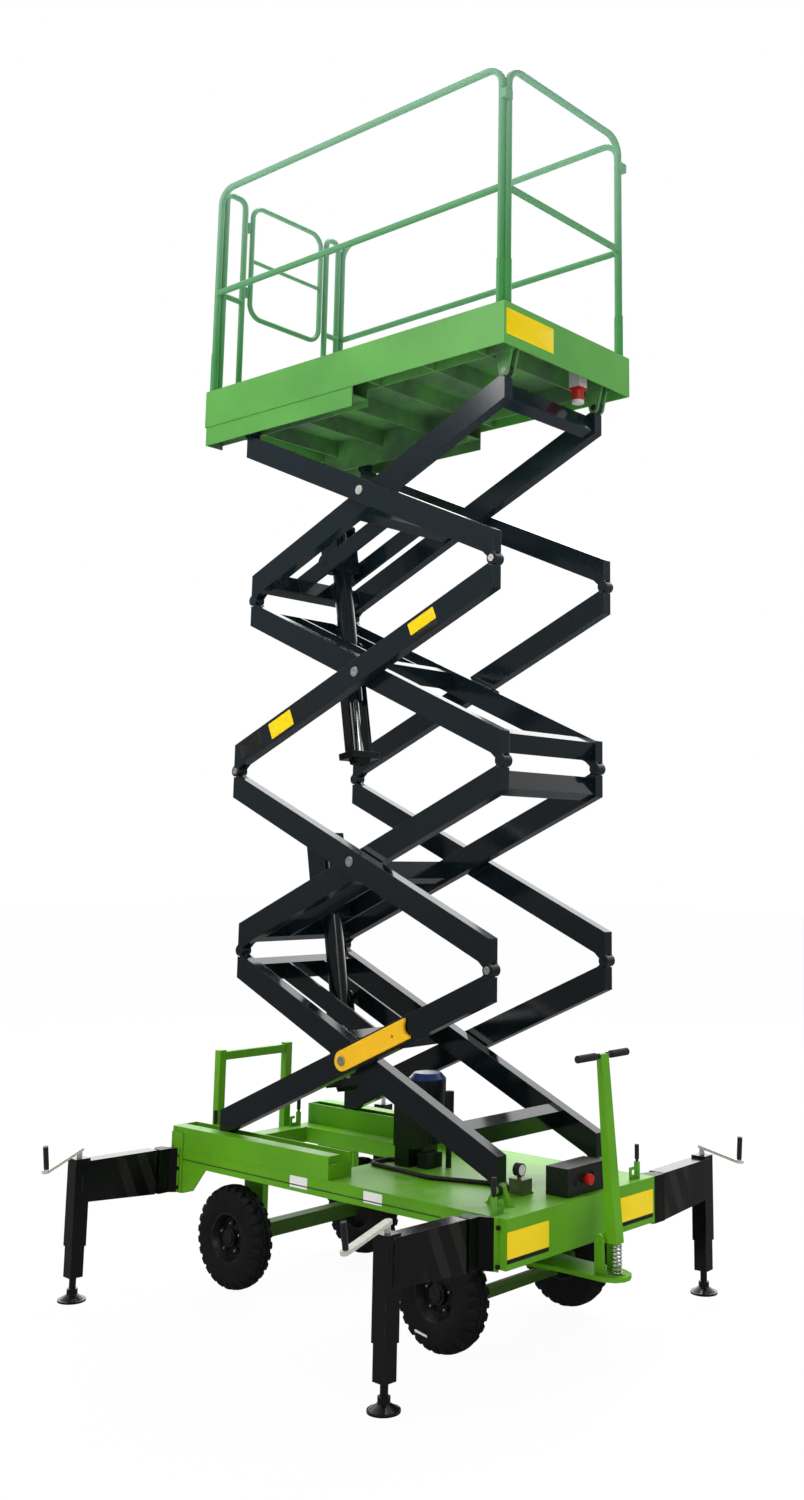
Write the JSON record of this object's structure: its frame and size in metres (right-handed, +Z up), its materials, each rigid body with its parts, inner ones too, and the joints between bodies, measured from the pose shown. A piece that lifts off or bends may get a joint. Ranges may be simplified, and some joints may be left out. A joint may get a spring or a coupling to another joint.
{
  "type": "mobile scissor lift table",
  "caption": "Towed scissor lift work platform with stacked crossed arms, two lift cylinders, guard rails, four wheels and swing-out screw jack legs",
  "frame": {"origin": "centre of the bounding box in plan, on the floor", "axes": "+X towards the tow handle, +Y to the far side, +Z up"},
  "size_m": [2.184, 2.3214, 5.0374],
  "materials": {
    "chassis_green": "gloss paint, worn at the edges",
    "platform_green": "gloss paint, lighter green",
    "arm_black": "gloss black paint",
    "strut_orange": "orange paint",
    "motor_blue": "blue paint",
    "tank_black": "black paint",
    "crank_silver": "zinc plated steel",
    "cylinder_paint": "black paint",
    "grip_black": "black rubber grips",
    "tyre_rubber": "black tyre rubber",
    "rim_dark": "dark grey paint",
    "leg_black": "black paint",
    "hose_black": "black hydraulic hose",
    "stop_red": "red plastic",
    "spring_steel": "bare spring steel",
    "socket_red": "red plastic",
    "valve_steel": "machined block"
  },
  "bodies": {
    "chassis": {"chassis_frame": "chassis_green", "corner_brackets": "leg_black", "deck_hose": "hose_black", "deck_plate": "chassis_green", "roller_rails": "chassis_green", "push_frame": "chassis_green", "lock_pins": "chassis_green", "power_tank": "tank_black", "motor": "motor_blue", "valve_block": "valve_steel", "control_box": "tank_black", "stop_button": "stop_red", "front_axle": "chassis_green", "rear_axle": "chassis_green"},
    "drawbar": {"drawbar": "chassis_green", "return_spring": "spring_steel"},
    "tow_handle": {"tow_handle": "chassis_green", "tow_grips": "grip_black"},
    "knuckle_near": {"knuckle_near": "tank_black"},
    "knuckle_far": {"knuckle_far": "tank_black"},
    "tie_rod": {"tie_rod": "chassis_green"},
    "wheel_near_front": {"tyre_near_front": "tyre_rubber", "rim_near_front": "rim_dark"},
    "wheel_far_front": {"tyre_far_front": "tyre_rubber", "rim_far_front": "rim_dark"},
    "wheel_near_rear": {"tyre_near_rear": "tyre_rubber", "rim_near_rear": "rim_dark"},
    "wheel_far_rear": {"tyre_far_rear": "tyre_rubber", "rim_far_rear": "rim_dark"},
    "inner_1": {"inner_frame_1": "arm_black"},
    "outer_1": {"outer_arms_1": "arm_black"},
    "inner_2": {"inner_frame_2": "arm_black"},
    "outer_2": {"outer_arms_2": "arm_black"},
    "inner_3": {"inner_frame_3": "arm_black"},
    "outer_3": {"outer_arms_3": "arm_black"},
    "inner_4": {"inner_frame_4": "arm_black"},
    "outer_4": {"outer_arms_4": "arm_black"},
    "safety_strut": {"safety_strut": "strut_orange"},
    "lower_barrel": {"lower_barrel": "cylinder_paint"},
    "lower_rod": {"lower_cage": "cylinder_paint"},
    "upper_barrel": {"upper_barrel": "cylinder_paint"},
    "upper_rod": {"upper_cage": "cylinder_paint"},
    "platform": {"platform_tray": "platform_green", "platform_frame": "platform_green", "guard_rails": "platform_green", "power_socket": "socket_red"},
    "gate": {"gate": "platform_green"},
    "outrigger_near_front": {"outrigger_near_front": "leg_black", "crank_near_front": "crank_silver"},
    "jack_near_front": {"jack_near_front": "leg_black"},
    "outrigger_near_rear": {"outrigger_near_rear": "leg_black", "crank_near_rear": "crank_silver"},
    "jack_near_rear": {"jack_near_rear": "leg_black"},
    "outrigger_far_front": {"outrigger_far_front": "leg_black", "crank_far_front": "crank_silver"},
    "jack_far_front": {"jack_far_front": "leg_black"},
    "outrigger_far_rear": {"outrigger_far_rear": "leg_black", "crank_far_rear": "crank_silver"},
    "jack_far_rear": {"jack_far_rear": "leg_black"}
  },
  "joints": [
    {"name": "roll_near_front", "type": "hinge", "parent": "knuckle_near", "child": "wheel_near_front", "pos_m": [0.525, -0.38, 0.216], "axis": [0, 1, 0], "continuous": true},
    {"name": "roll_far_front", "type": "hinge", "parent": "knuckle_far", "child": "wheel_far_front", "pos_m": [0.525, 0.38, 0.216], "axis": [0, 1, 0], "continuous": true},
    {"name": "roll_near_rear", "type": "hinge", "parent": "chassis", "child": "wheel_near_rear", "pos_m": [-0.649, -0.38, 0.216], "axis": [0, 1, 0], "continuous": true},
    {"name": "roll_far_rear", "type": "hinge", "parent": "chassis", "child": "wheel_far_rear", "pos_m": [-0.649, 0.38, 0.216], "axis": [0, 1, 0], "continuous": true},
    {"name": "steer", "type": "hinge", "parent": "chassis", "child": "drawbar", "pos_m": [0.619, 0, 0.36], "axis": [0, 0, 1], "range_deg": [-25, 25]},
    {"name": "knuckle_turn_near", "type": "hinge", "parent": "chassis", "child": "knuckle_near", "pos_m": [0.525, -0.286, 0.216], "axis": [0, 0, 1], "range_deg": [-26, 26]},
    {"name": "knuckle_turn_far", "type": "hinge", "parent": "chassis", "child": "knuckle_far", "pos_m": [0.525, 0.286, 0.216], "axis": [0, 0, 1], "range_deg": [-26, 26]},
    {"name": "tie_rod_turn", "type": "hinge", "parent": "knuckle_near", "child": "tie_rod", "pos_m": [0.625, -0.286, 0.226], "axis": [0, 0, 1], "range_deg": [-26, 26]},
    {"name": "handle_tilt", "type": "hinge", "parent": "drawbar", "child": "tow_handle", "pos_m": [0.994, 0, 0.417], "axis": [0, 1, 0], "range_deg": [0, 45], "deforming": ["return_spring"]},
    {"name": "lift", "type": "hinge", "parent": "chassis", "child": "inner_1", "pos_m": [0.739, 0, 0.6], "axis": [0, 1, 0], "range_deg": [-21.87, 32.13]},
    {"name": "stage_1_centre", "type": "hinge", "parent": "inner_1", "child": "outer_1", "pos_m": [-0.00357, 0, 0.99267], "axis": [0, 1, 0], "range_deg": [-64.76, 44.24]},
    {"name": "stage_2_rear", "type": "hinge", "parent": "inner_1", "child": "inner_2", "pos_m": [-0.74614, 0, 1.38535], "axis": [0, 1, 0], "range_deg": [-64.76, 44.24]},
    {"name": "stage_2_centre", "type": "hinge", "parent": "inner_2", "child": "outer_2", "pos_m": [-0.00357, 0, 1.77802], "axis": [0, 1, 0], "range_deg": [-44.24, 64.76]},
    {"name": "stage_3_front", "type": "hinge", "parent": "inner_2", "child": "inner_3", "pos_m": [0.739, 0, 2.17069], "axis": [0, 1, 0], "range_deg": [-44.24, 64.76]},
    {"name": "stage_3_centre", "type": "hinge", "parent": "inner_3", "child": "outer_3", "pos_m": [-0.00357, 0, 2.56336], "axis": [0, 1, 0], "range_deg": [-64.76, 44.24]},
    {"name": "stage_4_rear", "type": "hinge", "parent": "inner_3", "child": "inner_4", "pos_m": [-0.74614, 0, 2.95603], "axis": [0, 1, 0], "range_deg": [-64.76, 44.24]},
    {"name": "stage_4_centre", "type": "hinge", "parent": "inner_4", "child": "outer_4", "pos_m": [-0.00357, 0, 3.34871], "axis": [0, 1, 0], "range_deg": [-44.24, 64.76]},
    {"name": "platform_front", "type": "hinge", "parent": "inner_4", "child": "platform", "pos_m": [0.739, 0, 3.74138], "axis": [0, 1, 0], "range_deg": [-22.37, 32.63]},
    {"name": "strut_swing", "type": "hinge", "parent": "outer_1", "child": "safety_strut", "pos_m": [-0.00357, -0.405, 0.99267], "axis": [0, 1, 0], "range_deg": [0, 60]},
    {"name": "lower_barrel_turn", "type": "hinge", "parent": "inner_2", "child": "lower_barrel", "pos_m": [-0.5184, 0, 1.57745], "axis": [0, 1, 0], "range_deg": [-27.47, 40.12]},
    {"name": "lower_rod_slide", "type": "slide", "parent": "lower_barrel", "child": "lower_rod", "axis": [0.1711, 0, -0.9852], "range_m": [-0.1764, 0.2573]},
    {"name": "upper_barrel_turn", "type": "hinge", "parent": "inner_4", "child": "upper_barrel", "pos_m": [-0.5184, 0, 3.14814], "axis": [0, 1, 0], "range_deg": [-27.47, 40.12]},
    {"name": "upper_rod_slide", "type": "slide", "parent": "upper_barrel", "child": "upper_rod", "axis": [0.1711, 0, -0.9852], "range_m": [-0.1764, 0.2573]},
    {"name": "gate_swing", "type": "hinge", "parent": "platform", "child": "gate", "pos_m": [-0.999, -0.237, 4.728], "axis": [0, 0, 1], "range_deg": [-95, 0]},
    {"name": "outrigger_swing_near_front", "type": "hinge", "parent": "chassis", "child": "outrigger_near_front", "pos_m": [0.757, -0.512, 0.455], "axis": [0, 0, 1], "range_deg": [-87, 0]},
    {"name": "jack_slide_near_front", "type": "slide", "parent": "outrigger_near_front", "child": "jack_near_front", "axis": [0, 0, 1], "range_m": [0, 0.12]},
    {"name": "outrigger_swing_near_rear", "type": "hinge", "parent": "chassis", "child": "outrigger_near_rear", "pos_m": [-1.002, -0.512, 0.455], "axis": [0, 0, 1], "range_deg": [-84, 0]},
    {"name": "jack_slide_near_rear", "type": "slide", "parent": "outrigger_near_rear", "child": "jack_near_rear", "axis": [0, 0, 1], "range_m": [0, 0.12]},
    {"name": "outrigger_swing_far_front", "type": "hinge", "parent": "chassis", "child": "outrigger_far_front", "pos_m": [0.857, 0.512, 0.455], "axis": [0, 0, 1], "range_deg": [0, 87]},
    {"name": "jack_slide_far_front", "type": "slide", "parent": "outrigger_far_front", "child": "jack_far_front", "axis": [0, 0, 1], "range_m": [0, 0.12]},
    {"name": "outrigger_swing_far_rear", "type": "hinge", "parent": "chassis", "child": "outrigger_far_rear", "pos_m": [-1.002, 0.512, 0.455], "axis": [0, 0, 1], "range_deg": [0, 84]},
    {"name": "jack_slide_far_rear", "type": "slide", "parent": "outrigger_far_rear", "child": "jack_far_rear", "axis": [0, 0, 1], "range_m": [0, 0.12]}
  ],
  "couplings": [
    {"joint": "knuckle_turn_near", "follows": "steer", "ratio": 1},
    {"joint": "knuckle_turn_far", "follows": "steer", "ratio": 1},
    {"joint": "tie_rod_turn", "follows": "steer", "ratio": -1},
    {"joint": "stage_1_centre", "follows": "lift", "ratio": -2},
    {"joint": "stage_2_rear", "follows": "lift", "ratio": -2},
    {"joint": "stage_2_centre", "follows": "lift", "ratio": 2},
    {"joint": "stage_3_front", "follows": "lift", "ratio": 2},
    {"joint": "stage_3_centre", "follows": "lift", "ratio": -2},
    {"joint": "stage_4_rear", "follows": "lift", "ratio": -2},
    {"joint": "stage_4_centre", "follows": "lift", "ratio": 2},
    {"joint": "platform_front", "follows": "lift", "ratio": 1},
    {"joint": "lower_barrel_turn", "follows": "lift", "ratio": 1.2331},
    {"joint": "lower_rod_slide", "follows": "lift", "m_per_rad": 0.45176},
    {"joint": "upper_barrel_turn", "follows": "lift", "ratio": 1.2331},
    {"joint": "upper_rod_slide", "follows": "lift", "m_per_rad": 0.45176}
  ]
}
